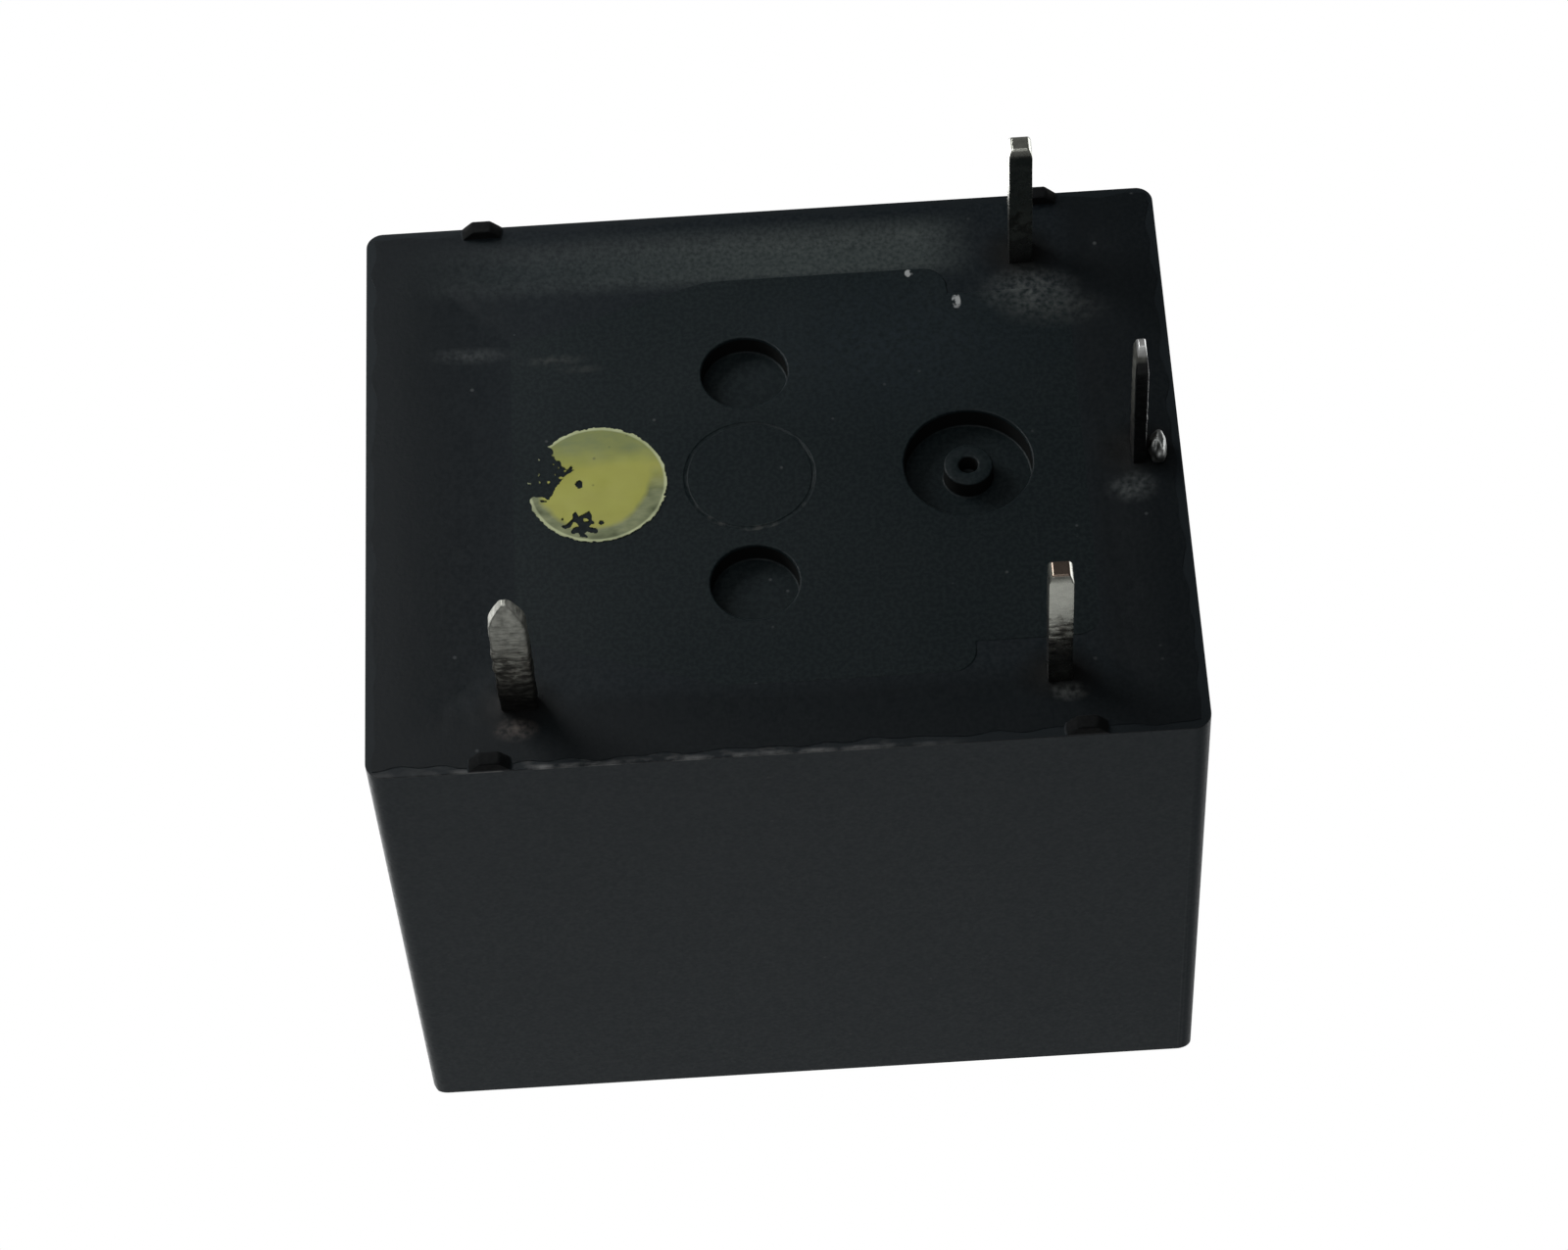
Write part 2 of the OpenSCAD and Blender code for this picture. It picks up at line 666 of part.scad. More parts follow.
// Silver alloy button riveted through the tip of the spring
module moving_contact() {
    color("#c9c6bd") opened() translate([-reach, 0, blade_h - contact_t]) {
        cylinder(d = contact_d, h = contact_t);
        translate([0, 0, contact_t - eps]) rivet(spring_t + eps);
    }
}

// Silver alloy button riveted through the terminal's tab
module fixed_contact() {
    color("#c9c6bd") translate([contact_x, 0, fixed_top_z]) mirror([0, 0, 1]) {
        cylinder(d = contact_d, h = contact_t);
        translate([0, 0, contact_t - eps]) rivet(blade_t + eps);
    }
}

cover();
base();
epoxy_seal();
paint_mark();
coil_terminal_a();
coil_terminal_b();
com_terminal();
no_terminal();
bobbin();
coil_winding();
coil_tape();
coil_lead_a();
coil_lead_b();
core();
yoke();
yoke_rivets();
armature();
armature_rivets();
contact_spring();
moving_contact();
fixed_contact();
back_stop();
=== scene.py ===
import math

import bmesh
import bpy
from mathutils import Matrix, Vector, noise


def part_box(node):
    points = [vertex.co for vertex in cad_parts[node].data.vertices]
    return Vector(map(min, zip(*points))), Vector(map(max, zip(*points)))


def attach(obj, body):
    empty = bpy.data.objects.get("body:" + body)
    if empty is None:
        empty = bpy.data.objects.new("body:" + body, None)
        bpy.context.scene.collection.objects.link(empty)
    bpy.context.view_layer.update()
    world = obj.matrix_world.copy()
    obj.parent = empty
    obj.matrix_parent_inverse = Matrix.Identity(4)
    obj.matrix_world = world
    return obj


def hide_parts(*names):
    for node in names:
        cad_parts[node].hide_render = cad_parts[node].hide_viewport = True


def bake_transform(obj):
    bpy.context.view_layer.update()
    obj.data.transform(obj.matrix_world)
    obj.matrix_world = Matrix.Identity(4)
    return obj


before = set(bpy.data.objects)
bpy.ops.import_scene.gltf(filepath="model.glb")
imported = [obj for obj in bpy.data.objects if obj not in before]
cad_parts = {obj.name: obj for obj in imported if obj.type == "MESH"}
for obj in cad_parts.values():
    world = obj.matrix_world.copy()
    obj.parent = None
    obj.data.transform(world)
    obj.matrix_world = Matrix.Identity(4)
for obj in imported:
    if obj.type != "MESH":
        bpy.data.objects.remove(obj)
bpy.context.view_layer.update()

# Core, yoke, armature and rivets
# The iron of the magnet: a turned core riveted into a bent strip, and the plate that tips on its edge.
# Soft iron, stamped or turned, zinc plated and dull, with faint rolling lines.
mm = 0.001
iron_edge = 0.05
weld_gap = 0.0005
flat_turn = math.radians(0.5)
edge_turn = math.radians(25)
sharp_turn = math.radians(40)


def merged_copy(node):
    """A copy of a CAD node in millimetres, with its triangles joined and its flat faces made whole."""
    piece = bmesh.new()
    piece.from_mesh(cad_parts[node].data)
    bmesh.ops.scale(piece, vec=(1 / mm, 1 / mm, 1 / mm), verts=piece.verts)
    bmesh.ops.remove_doubles(piece, verts=piece.verts, dist=weld_gap)
    bmesh.ops.dissolve_limit(piece, angle_limit=flat_turn, verts=piece.verts, edges=piece.edges)
    return piece


def soften(piece, width, steps=2, where=None):
    """Rounds the edges that turn by more than 25 degrees, or those of them whose middle passes a test."""
    edges = [e for e in piece.edges if e.is_manifold and e.calc_face_angle() > edge_turn]
    if where:
        edges = [e for e in edges if where((e.verts[0].co + e.verts[1].co) / 2)]
    bmesh.ops.bevel(piece, geom=edges, offset=width, offset_type="OFFSET", segments=steps, profile=0.5,
                    affect="EDGES", material=-1, clamp_overlap=True)


def shown(name, piece, body, slot, finish, *nodes):
    """Makes the mesh an object that rides a body, takes the finish and stands for CAD nodes. The slot is
    not used.
    """
    bmesh.ops.scale(piece, vec=(mm, mm, mm), verts=piece.verts)
    mesh = bpy.data.meshes.new(name)
    piece.to_mesh(mesh)
    piece.free()
    mesh.shade_smooth()
    mesh.set_sharp_from_angle(angle=sharp_turn)
    mesh.materials.append(finish)
    thing = bpy.data.objects.new(name, mesh)
    bpy.context.collection.objects.link(thing)
    flat_faces = thing.modifiers.new("flat_faces", "WEIGHTED_NORMAL")
    flat_faces.keep_sharp = True
    if body:
        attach(thing, body)
    if nodes:
        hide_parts(*nodes)
    return thing


def join_sockets(source, target):
    """Links an output of one shader node to an input of another."""
    source.id_data.links.new(source, target)


def new_finish(name, metallic=0.0, specular=0.5):
    """A material, its shader, and the piece's own coordinates in millimetres for its patterns."""
    finish = bpy.data.materials.new(name)
    finish.use_nodes = True
    nodes = finish.node_tree.nodes
    shader = nodes["Principled BSDF"]
    shader.inputs["Metallic"].default_value = metallic
    shader.inputs["Specular IOR Level"].default_value = specular
    scaled = nodes.new("ShaderNodeVectorMath")
    scaled.operation = "SCALE"
    scaled.inputs["Scale"].default_value = 1 / mm
    join_sockets(nodes.new("ShaderNodeTexCoord").outputs["Object"], scaled.inputs[0])
    return finish, shader, scaled.outputs["Vector"]


def spots(place, size, seed, detail=3.0, stretch=(1, 1, 1)):
    """Soft noise from 0 to 1 with spots of about this size, longer where stretch is above 1."""
    nodes = place.id_data.nodes
    turn = nodes.new("ShaderNodeMapping")
    turn.inputs["Scale"].default_value = [1 / s for s in stretch]
    join_sockets(place, turn.inputs["Vector"])
    cloud = nodes.new("ShaderNodeTexNoise")
    cloud.noise_dimensions = "4D"
    cloud.inputs["W"].default_value = seed
    cloud.inputs["Scale"].default_value = 0.5 / size
    cloud.inputs["Detail"].default_value = detail
    join_sockets(turn.outputs["Vector"], cloud.inputs["Vector"])
    return cloud.outputs["Fac"]


def levels(value, low, high, to_low=0.0, to_high=1.0):
    """Spreads what lies between low and high over the range that a socket needs."""
    spread = value.id_data.nodes.new("ShaderNodeMapRange")
    for socket, number in zip(spread.inputs[1:5], (low, high, to_low, to_high)):
        socket.default_value = number
    join_sockets(value, spread.inputs["Value"])
    return spread.outputs["Result"]


def two_colours(share, first, second):
    """Goes from the first colour to the second as share goes from 0 to 1. Either may be a socket."""
    mix = share.id_data.nodes.new("ShaderNodeMix")
    mix.data_type = "RGBA"
    join_sockets(share, mix.inputs["Factor"])
    for socket, colour in ((mix.inputs[6], first), (mix.inputs[7], second)):
        if isinstance(colour, bpy.types.NodeSocket):
            join_sockets(colour, socket)
        else:
            socket.default_value = (*colour, 1)
    return mix.outputs[2]


def relief(shader, height, depth):
    """Gives the surface a fine relief of this depth."""
    bump = shader.id_data.nodes.new("ShaderNodeBump")
    bump.inputs["Strength"].default_value = 1.0
    bump.inputs["Distance"].default_value = depth * mm
    join_sockets(height, bump.inputs["Height"])
    join_sockets(bump.outputs["Normal"], shader.inputs["Normal"])


iron, shader, place = new_finish("zinc_plated_iron", metallic=1.0)
plating = spots(place, 0.4, seed=1)
rolling = spots(place, 0.05, seed=2, stretch=(12, 1, 1))
join_sockets(two_colours(plating, (0.27, 0.275, 0.28), (0.4, 0.405, 0.41)), shader.inputs["Base Color"])
join_sockets(levels(rolling, 0.3, 0.7, 0.32, 0.5), shader.inputs["Roughness"])
relief(shader, rolling, 0.004)

iron_pieces = {
    "core_turning": ("housing", "core"),
    "yoke_strip": ("housing", "yoke"),
    "yoke_rivet_pair": ("housing", "yoke_rivets"),
    "armature_plate": ("armature_arm", "armature"),
    "armature_rivet_pair": ("armature_arm", "armature_rivets"),
}
for name, (body, node) in iron_pieces.items():
    piece = merged_copy(node)
    soften(piece, iron_edge)
    shown(name, piece, body, "iron", iron, node)

# Bobbin
# The coil former: a tube with two square flanges and an ear for each coil terminal.
# Moulded in one piece from dark glass-filled plastic, pushed over the core.
bobbin_edge = 0.06
bobbin_plastic, shader, place = new_finish("glass_filled_plastic")
fibres = spots(place, 0.06, seed=3, stretch=(1, 4, 1))
join_sockets(two_colours(fibres, (0.03, 0.03, 0.032), (0.055, 0.055, 0.056)), shader.inputs["Base Color"])
join_sockets(levels(fibres, 0.3, 0.7, 0.45, 0.65), shader.inputs["Roughness"])
relief(shader, fibres, 0.006)
piece = merged_copy("bobbin")
soften(piece, bobbin_edge)
shown("bobbin_moulding", piece, "housing", "bobbin_plastic", bobbin_plastic, "bobbin")

# Winding, leads and tape
# Enamelled copper wire wound in even layers, its two ends wrapped on the terminals' tails and soldered.
# One turn of polyester tape closes the winding.
wire_d = 0.12
steps_per_turn = 4
ring_steps = 96
lead_edge = 0.05
tape_edge = 0.02


def box_of(node):
    """Lowest and highest corner of a CAD node, in millimetres."""
    low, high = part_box(node)
    return Vector(low) / mm, Vector(high) / mm


enamel, shader, place = new_finish("copper_enamel", metallic=1.0)
tint = spots(place, 0.3, seed=4)
join_sockets(two_colours(tint, (0.3, 0.085, 0.025), (0.5, 0.17, 0.05)), shader.inputs["Base Color"])
join_sockets(levels(tint, 0.3, 0.7, 0.18, 0.32), shader.inputs["Roughness"])

low, high = box_of("coil_winding")
coil_axis = (low + high) / 2
outer_r = (high.x - low.x) / 2
plain_ring = merged_copy("coil_winding")
inner_r = min((v.co - coil_axis).xy.length for v in plain_ring.verts)
plain_ring.free()
turns = round((high.z - low.z) / wire_d)
section = bmesh.new()
rim = []
for step in range(turns * steps_per_turn + 1):
    share = step / (turns * steps_per_turn)
    swell = abs(math.sin(math.pi * turns * share))
    radius = outer_r - wire_d / 2 * (1 - swell)
    rim.append(section.verts.new((coil_axis.x + radius, coil_axis.y, low.z + share * (high.z - low.z))))
bore = [section.verts.new((coil_axis.x + inner_r, coil_axis.y, z)) for z in (high.z, low.z)]
loop = rim + bore
for first, second in zip(loop, loop[1:] + loop[:1]):
    section.edges.new((first, second))
bmesh.ops.spin(section, geom=section.verts[:] + section.edges[:], cent=coil_axis, axis=(0, 0, 1),
               angle=math.tau, steps=ring_steps, use_merge=True)
bmesh.ops.recalc_face_normals(section, faces=section.faces)
shown("wound_wire", section, "housing", "enamelled_copper", enamel, "coil_winding")
for name, node in (("lead_a", "coil_lead_a"), ("lead_b", "coil_lead_b")):
    piece = merged_copy(node)
    soften(piece, lead_edge)
    shown(name, piece, "housing", "enamelled_copper", enamel, node)

tape, shader, place = new_finish("polyester_tape")
wrinkle = spots(place, 0.5, seed=5, stretch=(1, 1, 5))
join_sockets(two_colours(wrinkle, (0.5, 0.34, 0.04), (0.62, 0.45, 0.08)), shader.inputs["Base Color"])
join_sockets(levels(wrinkle, 0.3, 0.7, 0.15, 0.3), shader.inputs["Roughness"])
relief(shader, wrinkle, 0.01)
piece = merged_copy("coil_tape")
soften(piece, tape_edge)
shown("tape_turn", piece, "housing", "tape", tape, "coil_tape")

# Contact spring and stop
# A leaf of rolled bronze that runs up the yoke, bends over the hinge and carries the moving contact,
# and a plain strip in the base that holds the open leaf back.
leaf_edge = 0.03
bend_h = 2.6
bend_l = 1.0
bend_end = 0.2
bend_rows = 0.2

bronze, shader, place = new_finish("rolled_bronze", metallic=1.0)
lines = spots(place, 0.03, seed=6, stretch=(20, 1, 20))
join_sockets(two_colours(lines, (0.45, 0.28, 0.1), (0.62, 0.42, 0.17)), shader.inputs["Base Color"])
join_sockets(levels(lines, 0.3, 0.7, 0.22, 0.4), shader.inputs["Roughness"])
relief(shader, lines, 0.002)

low, high = box_of("contact_spring")
leg_end = Vector((high.x, 0, high.z - bend_h))
arm_start = Vector((high.x - bend_l, 0, high.z - bend_end))
piece = merged_copy("contact_spring")
soften(piece, leaf_edge)
for row in range(round((arm_start.z - leg_end.z) / bend_rows)):
    bmesh.ops.bisect_plane(piece, geom=piece.verts[:] + piece.edges[:] + piece.faces[:],
                           plane_co=(0, 0, leg_end.z + row * bend_rows), plane_no=(0, 0, 1))
leaf = shown("contact_leaf", piece, None, "spring_bronze", bronze, "contact_spring")
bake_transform(leaf)

piece = merged_copy("back_stop")
soften(piece, leaf_edge)
shown("stop_strip", piece, "housing", "spring_bronze", bronze, "back_stop")

# Contacts
# Two buttons of silver alloy, headed cold and riveted through the leaf and the terminal's tab.
# Bright and slightly crowned, with a grey bloom.
crown = 0.12
silver, shader, place = new_finish("silver_alloy", metallic=1.0)
bloom = spots(place, 0.25, seed=7)
join_sockets(two_colours(bloom, (0.5, 0.48, 0.44), (0.72, 0.7, 0.66)), shader.inputs["Base Color"])
join_sockets(levels(bloom, 0.3, 0.7, 0.2, 0.4), shader.inputs["Roughness"])
contacts = {
    "moving_button": ("armature_arm", "moving_contact"),
    "fixed_button": ("housing", "fixed_contact"),
}
for name, (body, node) in contacts.items():
    piece = merged_copy(node)
    soften(piece, crown, steps=3)
    shown(name, piece, body, "silver_contact", silver, node)

# Terminals
# Two square coil pins and two flat blades of copper alloy, cut from strip, pressed into the base and
# hot-dipped in tin: dull and rippled, brown at a bare cut end, with painted shade towards the root, a
# painted dark reflection along the common blade's front edge and a painted glint on its tip.
ledge_z = box_of("epoxy_seal")[1].z
blade_t = 0.4
blade_w = 0.85
com_leg_t = 0.3
no_x = -6.0
inner_edge = 0.04
tip_curve = 0.72
tip_t_share = 0.5
tip_t_curve = 0.6
ripple_z = -1.4
ripple_reach = 1.3
dent_share = 0.35
stain_sway = 2.4
clean_band = 0.1
cut_h = 0.05
cut_soft = 0.03
glint_h = 0.24
glint_soft = 0.08
reflected_x = 0.06
reflected_y = 0.24
reflected_soft = 0.08


def along(place, axis):
    """The place along one axis, in millimetres."""
    split = place.id_data.nodes.new("ShaderNodeSeparateXYZ")
    join_sockets(place, split.inputs["Vector"])
    return split.outputs[axis]


def ramp(place, axis, start, end, to_start=0.0, to_end=1.0):
    """Goes from 0 to 1, or between two other values, from one place along an axis to another."""
    return levels(along(place, axis), start, end, to_start, to_end)


def reckon(operation, first, *others):
    """One operation on a socket and then on each of the other sockets or numbers in turn."""
    result = first
    for other in others:
        sum_node = result.id_data.nodes.new("ShaderNodeMath")
        sum_node.operation = operation
        join_sockets(result, sum_node.inputs[0])
        if isinstance(other, bpy.types.NodeSocket):
            join_sockets(other, sum_node.inputs[1])
        else:
            sum_node.inputs[1].default_value = other
        result = sum_node.outputs["Value"]
    return result


def tinned(name, dark, bright, smooth, rough, waves):
    """Dull tin between two colours and two roughnesses, with waves of this depth across the leg."""
    finish, shader, place = new_finish(name, metallic=1.0)
    mottle = spots(place, 0.1, seed=8, detail=4)
    ripples = spots(place, 0.045, seed=9, stretch=(3, 3, 1))
    colour = two_colours(levels(mottle, 0.35, 0.65), dark, bright)
    join_sockets(colour, shader.inputs["Base Color"])
    join_sockets(levels(mottle, 0.3, 0.7, smooth, rough), shader.inputs["Roughness"])
    relief(shader, ripples, waves)
    return finish, shader, place, mottle, colour


def stained(tin, root_shade_tone):
    """Tin that turns brown in patches and takes a painted shade towards the root, and stays clean inside
    the body.
    """
    finish, shader, place, mottle, colour = tin
    ragged = reckon("ADD", along(place, "Z"), reckon("MULTIPLY", mottle, stain_sway))
    outside = ramp(place, "Z", ledge_z, ledge_z - clean_band)
    wrinkles = levels(spots(place, 0.06, seed=26, detail=4, stretch=(2.5, 2.5, 1)), 0.53, 0.45)
    brown = reckon("MULTIPLY", levels(ragged, -1.1, -0.2), levels(mottle, 0.4, 0.6))
    gaps = reckon("MULTIPLY", levels(ragged, -1.3, -0.4), wrinkles, ramp(place, "Y", -5.0, 5.0))
    # Painted shade: the tin darkens towards the root, standing in for the shade and dark reflection of the
    # base.
    root = levels(ragged, -0.4, 0.9)
    for stain, tone in ((brown, (0.15, 0.142, 0.122)), (gaps, (0.06, 0.058, 0.052)), (root, root_shade_tone)):
        colour = two_colours(reckon("MULTIPLY", stain, outside), colour, tone)
    join_sockets(colour, shader.inputs["Base Color"])
    return finish, shader, place, colour


def tinned_leg(middle, width, depth, tip_share, taper, ripple, rounding):
    """The dipped leg below the base: a bar with a tapered tip, rounded edges and rippled tin."""
    leg = bmesh.new()
    bmesh.ops.create_cube(leg, size=1)
    bmesh.ops.subdivide_edges(leg, edges=leg.edges, cuts=15, use_grid_fill=True)
    upright = [e for e in leg.edges if abs(e.verts[0].co.z - e.verts[1].co.z) > 0.01]
    bmesh.ops.subdivide_edges(leg, edges=upright, cuts=5)
    for v in leg.verts:
        up = (v.co.z + 0.5) * (ledge_z - tip_z)
        near_tip = min(1.0, up / taper)
        slim = tip_share + (1 - tip_share) * near_tip ** tip_curve
        flat = 1 if width == depth else tip_t_share + (1 - tip_t_share) * near_tip ** tip_t_curve
        v.co.x = middle.x + v.co.x * width * (slim if width >= depth else flat)
        v.co.y = middle.y + v.co.y * depth * (slim if depth >= width else flat)
        v.co.z = tip_z + up
    for turn in range(rounding):
        bmesh.ops.smooth_vert(leg, verts=leg.verts, factor=0.5, use_axis_x=True, use_axis_y=True,
                              use_axis_z=True)
    leg.normal_update()
    for v in leg.verts:
        band = max(0.0, 1 - abs(v.co.z - ripple_z) / ripple_reach)
        wave = noise.noise(Vector((v.co.x * 3, v.co.y * 3, v.co.z * 6)))
        dent = noise.noise(v.co * 1.8 + Vector((11, 5, 3)))
        v.co += v.normal * ripple * (band * wave + dent_share * dent)
    return leg


def with_inner_part(leg, node):
    """Adds the rest of the terminal, inside the body, to its leg."""
    inner = merged_copy(node)
    bmesh.ops.bisect_plane(inner, geom=inner.verts[:] + inner.edges[:] + inner.faces[:],
                           plane_co=(0, 0, ledge_z), plane_no=(0, 0, 1), clear_inner=True)
    bmesh.ops.holes_fill(inner, edges=[e for e in inner.edges if e.is_boundary])
    soften(inner, inner_edge)
    mesh = bpy.data.meshes.new(node)
    inner.to_mesh(mesh)
    inner.free()
    leg.from_mesh(mesh)
    bpy.data.meshes.remove(mesh)
    return leg


low, high = box_of("coil_terminal_a")
tip_z = low.z
pin_side = high.x - low.x
pin_x = (low.x + high.x) / 2
pin_y = -(low.y + high.y) / 2
low, high = box_of("com_terminal")
com = Vector(((low.x + high.x) / 2, 0, 0))
make = Vector((no_x, pin_y, 0))
pins = {
    "coil_terminal_a": Vector((pin_x, -pin_y, 0)),
    "coil_terminal_b": Vector((pin_x, pin_y, 0)),
}

pin_tin = tinned("tinned_pin_metal", (0.36, 0.368, 0.33), (0.45, 0.46, 0.41), 0.24, 0.3, waves=0.003)
pin_metal, shader, place, colour = stained(pin_tin, (0.13, 0.132, 0.125))
cut_end = ramp(place, "Z", tip_z + cut_h, tip_z + cut_h - cut_soft)
front_pin = ramp(place, "Y", -1.0, 1.0)
brown_end = two_colours(reckon("MULTIPLY", cut_end, front_pin), colour, (0.2, 0.155, 0.125))
join_sockets(brown_end, shader.inputs["Base Color"])
for node, middle in pins.items():
    leg = tinned_leg(middle, pin_side, pin_side, tip_share=0.67, taper=0.22, ripple=0.006, rounding=1)
    shown(node + "_tinned", with_inner_part(leg, node), "housing", "tinned_pin", pin_metal, node)

blade_colours = ((0.17, 0.175, 0.155), (0.4, 0.405, 0.365))
com_tin = tinned("tinned_com_metal", *blade_colours, 0.35, 0.5, waves=0.02)
com_metal, shader, place, colour = stained(com_tin, (0.045, 0.045, 0.042))
# Painted reflection: the blade's front edge and the corner beside it are painted near black, as the dark
# surroundings it mirrors.
reflected_dark_corner = reckon("MULTIPLY", ramp(place, "X", com.x + reflected_x, com.x + reflected_x + reflected_soft / 2),
                     ramp(place, "Y", reflected_y - reflected_soft, reflected_y))
reflected_dark_edge = reckon("MAXIMUM", reflected_dark_corner, ramp(place, "Y", reflected_y, reflected_y + reflected_soft))
reflected_dark_edge = reckon("MULTIPLY", reflected_dark_edge, ramp(place, "Z", ledge_z, ledge_z - clean_band))
colour = two_colours(reflected_dark_edge, colour, (0.04, 0.042, 0.043))
# Painted glint: the blade's tip is painted much lighter.
tip_glint = ramp(place, "Z", tip_z + glint_h, tip_z + glint_h - glint_soft)
join_sockets(two_colours(tip_glint, colour, (0.6, 0.61, 0.6)), shader.inputs["Base Color"])
leg = tinned_leg(com, com_leg_t, blade_w, tip_share=0.26, taper=0.65, ripple=0.02, rounding=4)
shown("com_terminal_tinned", with_inner_part(leg, "com_terminal"), "housing", "tinned_blade", com_metal,
      "com_terminal")

make_tin = tinned("tinned_make_metal", *blade_colours, 0.4, 0.6, waves=0.035)
make_metal = stained(make_tin, (0.05, 0.05, 0.046))[0]
leg = tinned_leg(make, blade_w, blade_t, tip_share=0.14, taper=0.72, ripple=0.06, rounding=12)
shown("no_terminal_tinned", with_inner_part(leg, "no_terminal"), "housing", "tinned_blade", make_metal,
      "no_terminal")

# Bead of solder
# A drop of tin that ran off the common blade while it was dipped and set on the resin beside it.
# It is lumpy and dull, because it cooled slowly.
bead_r = Vector((0.22, 0.34, 0.42))
bead_at = Vector((8.95, 0.15, 0.05))
lump_share = 0.25
bead = bmesh.new()
bmesh.ops.create_icosphere(bead, subdivisions=4, radius=1)
for v in bead.verts:
    lump = 1 + lump_share * noise.noise(v.co * 1.7)
    v.co = bead_at + v.co * bead_r * lump
bead_tin = tinned("solder_bead_tin", (0.17, 0.18, 0.175), (0.4, 0.41, 0.4), 0.32, 0.52, waves=0.015)[0]
shown("solder_bead", bead, "housing", "tinned_blade", bead_tin)

# Base
# The plate that everything is built on, with the raised pad, ejector and gate marks that show below.
# Moulded from near-black plastic, satin from the mould, with dust, rub marks, a painted sheen, painted
# highlights in front of the terminals and on the ring, and painted shade on the walls of its recesses.
pad_face = box_of("base")[0].z
pad_edge = 0.045
below_ledge = 0.1
ring_middle = Vector((-0.55, 0, 0))
ring_r = 1.5
ring_reach = 0.2
ring_edge = 0.006
ring_fade = 0.4
shade_start = 0.06
shade_full = 0.1


def dust(place, spacing, share, seed):
    """Sparse specks, from 0 to 1: the smaller the share, the fewer of the cells have one."""
    nodes = place.id_data.nodes
    shift = nodes.new("ShaderNodeMapping")
    shift.inputs["Location"].default_value = (seed, 0, 0)
    join_sockets(place, shift.inputs["Vector"])
    cells = nodes.new("ShaderNodeTexVoronoi")
    cells.inputs["Scale"].default_value = 1 / spacing
    join_sockets(shift.outputs["Vector"], cells.inputs["Vector"])
    near = levels(cells.outputs["Distance"], 0.05, 0.12, 1.0, 0.0)
    pick = nodes.new("ShaderNodeSeparateColor")
    join_sockets(cells.outputs["Color"], pick.inputs["Color"])
    chosen = levels(pick.outputs["Red"], share, share + 0.02, 1.0, 0.0)
    return reckon("MULTIPLY", near, chosen)


def patch(place, middle, reach):
    """1 in the middle of a soft patch and 0 beyond its reach along each axis."""
    nodes = place.id_data.nodes
    away = nodes.new("ShaderNodeVectorMath")
    away.operation = "SUBTRACT"
    away.inputs[1].default_value = middle
    join_sockets(place, away.inputs[0])
    share = nodes.new("ShaderNodeVectorMath")
    share.operation = "DIVIDE"
    share.inputs[1].default_value = reach
    join_sockets(away.outputs["Vector"], share.inputs[0])
    length = nodes.new("ShaderNodeVectorMath")
    length.operation = "LENGTH"
    join_sockets(share.outputs["Vector"], length.inputs[0])
    return levels(length.outputs["Value"], 1.0, 0.1)


def speckled_patches(place, colour, laid_patches):
    """Soft speckled patches on a colour, each with its middle, its reach along each axis and its tone:
    scuffs, and painted sheen and highlights.
    """
    speckle = spots(place, 0.07, seed=22, detail=5)
    for middle, reach, tone in laid_patches:
        patch_share = reckon("MULTIPLY", patch(place, middle, reach), levels(speckle, 0.38, 0.68, 0.1, 1.0))
        colour = two_colours(patch_share, colour, tone)
    return colour


def on_ring(middle):
    """Whether this place is on the shallow ring in the pad's middle."""
    return abs((middle - ring_middle).xy.length - ring_r) < ring_reach


base_plastic, shader, place = new_finish("base_moulding_plastic", specular=0.12)
cloud = spots(place, 2.2, seed=10)
rub = spots(place, 0.05, seed=11, detail=4)
black = two_colours(cloud, (0.0021, 0.0049, 0.0062), (0.0033, 0.0066, 0.0077))
grey = two_colours(cloud, (0.0054, 0.0092, 0.0103), (0.0073, 0.0116, 0.0124))
colour = two_colours(levels(rub, 0.43, 0.58), black, grey)
colour = two_colours(dust(place, 0.42, 0.09, seed=12), colour, (0.035, 0.039, 0.04))

# Painted sheen: a broad lighter patch over the back of the pad.
painted_sheen = (
    ((3.2, -3.6, pad_face), (4.5, 2.8, 1), (0.0095, 0.0145, 0.018)),
)
# Painted highlights: pale speckled patches in front of each terminal's root.
painted_terminal_highlights = (
    ((6.9, -4.3, pad_face), (1.5, 0.6, 1), (0.03, 0.034, 0.033)),
    ((6.35, -4.95, pad_face), (1.35, 0.8, 1), (0.058, 0.064, 0.063)),
    ((6.39, 6.55, pad_face), (0.5, 0.32, 1), (0.06, 0.064, 0.062)),
    ((-6.1, 6.7, pad_face), (0.6, 0.36, 1), (0.062, 0.054, 0.049)),
    ((8.3, 1.05, pad_face), (0.7, 0.5, 1), (0.05, 0.056, 0.056)),
)
scuffs = (
    ((-7.0, -3.95, pad_face), (1.2, 0.3, 1), (0.032, 0.036, 0.037)),
    ((-5.0, -3.7, pad_face), (1.0, 0.2, 1), (0.026, 0.029, 0.028)),
    ((-4.4, -3.4, pad_face), (0.7, 0.14, 1), (0.024, 0.027, 0.026)),
)
colour = speckled_patches(place, colour, painted_sheen + painted_terminal_highlights + scuffs)

# Painted highlight: light dashes along the near arc of the ring's worn edge.
from_ring = patch(place, (*ring_middle.xy, pad_face), (2, 2, 10))
ring_front = ramp(place, "Y", 0.6, 1.3)
dashes = levels(spots(place, 0.12, seed=28, detail=4), 0.5, 0.62)
ring_band = reckon("MULTIPLY", levels(from_ring, 0.33, 0.3), levels(from_ring, 0.23, 0.26))
worn_ring_highlight = reckon("MULTIPLY", ring_band, ring_front, dashes)
colour = two_colours(worn_ring_highlight, colour, (0.026, 0.029, 0.028))

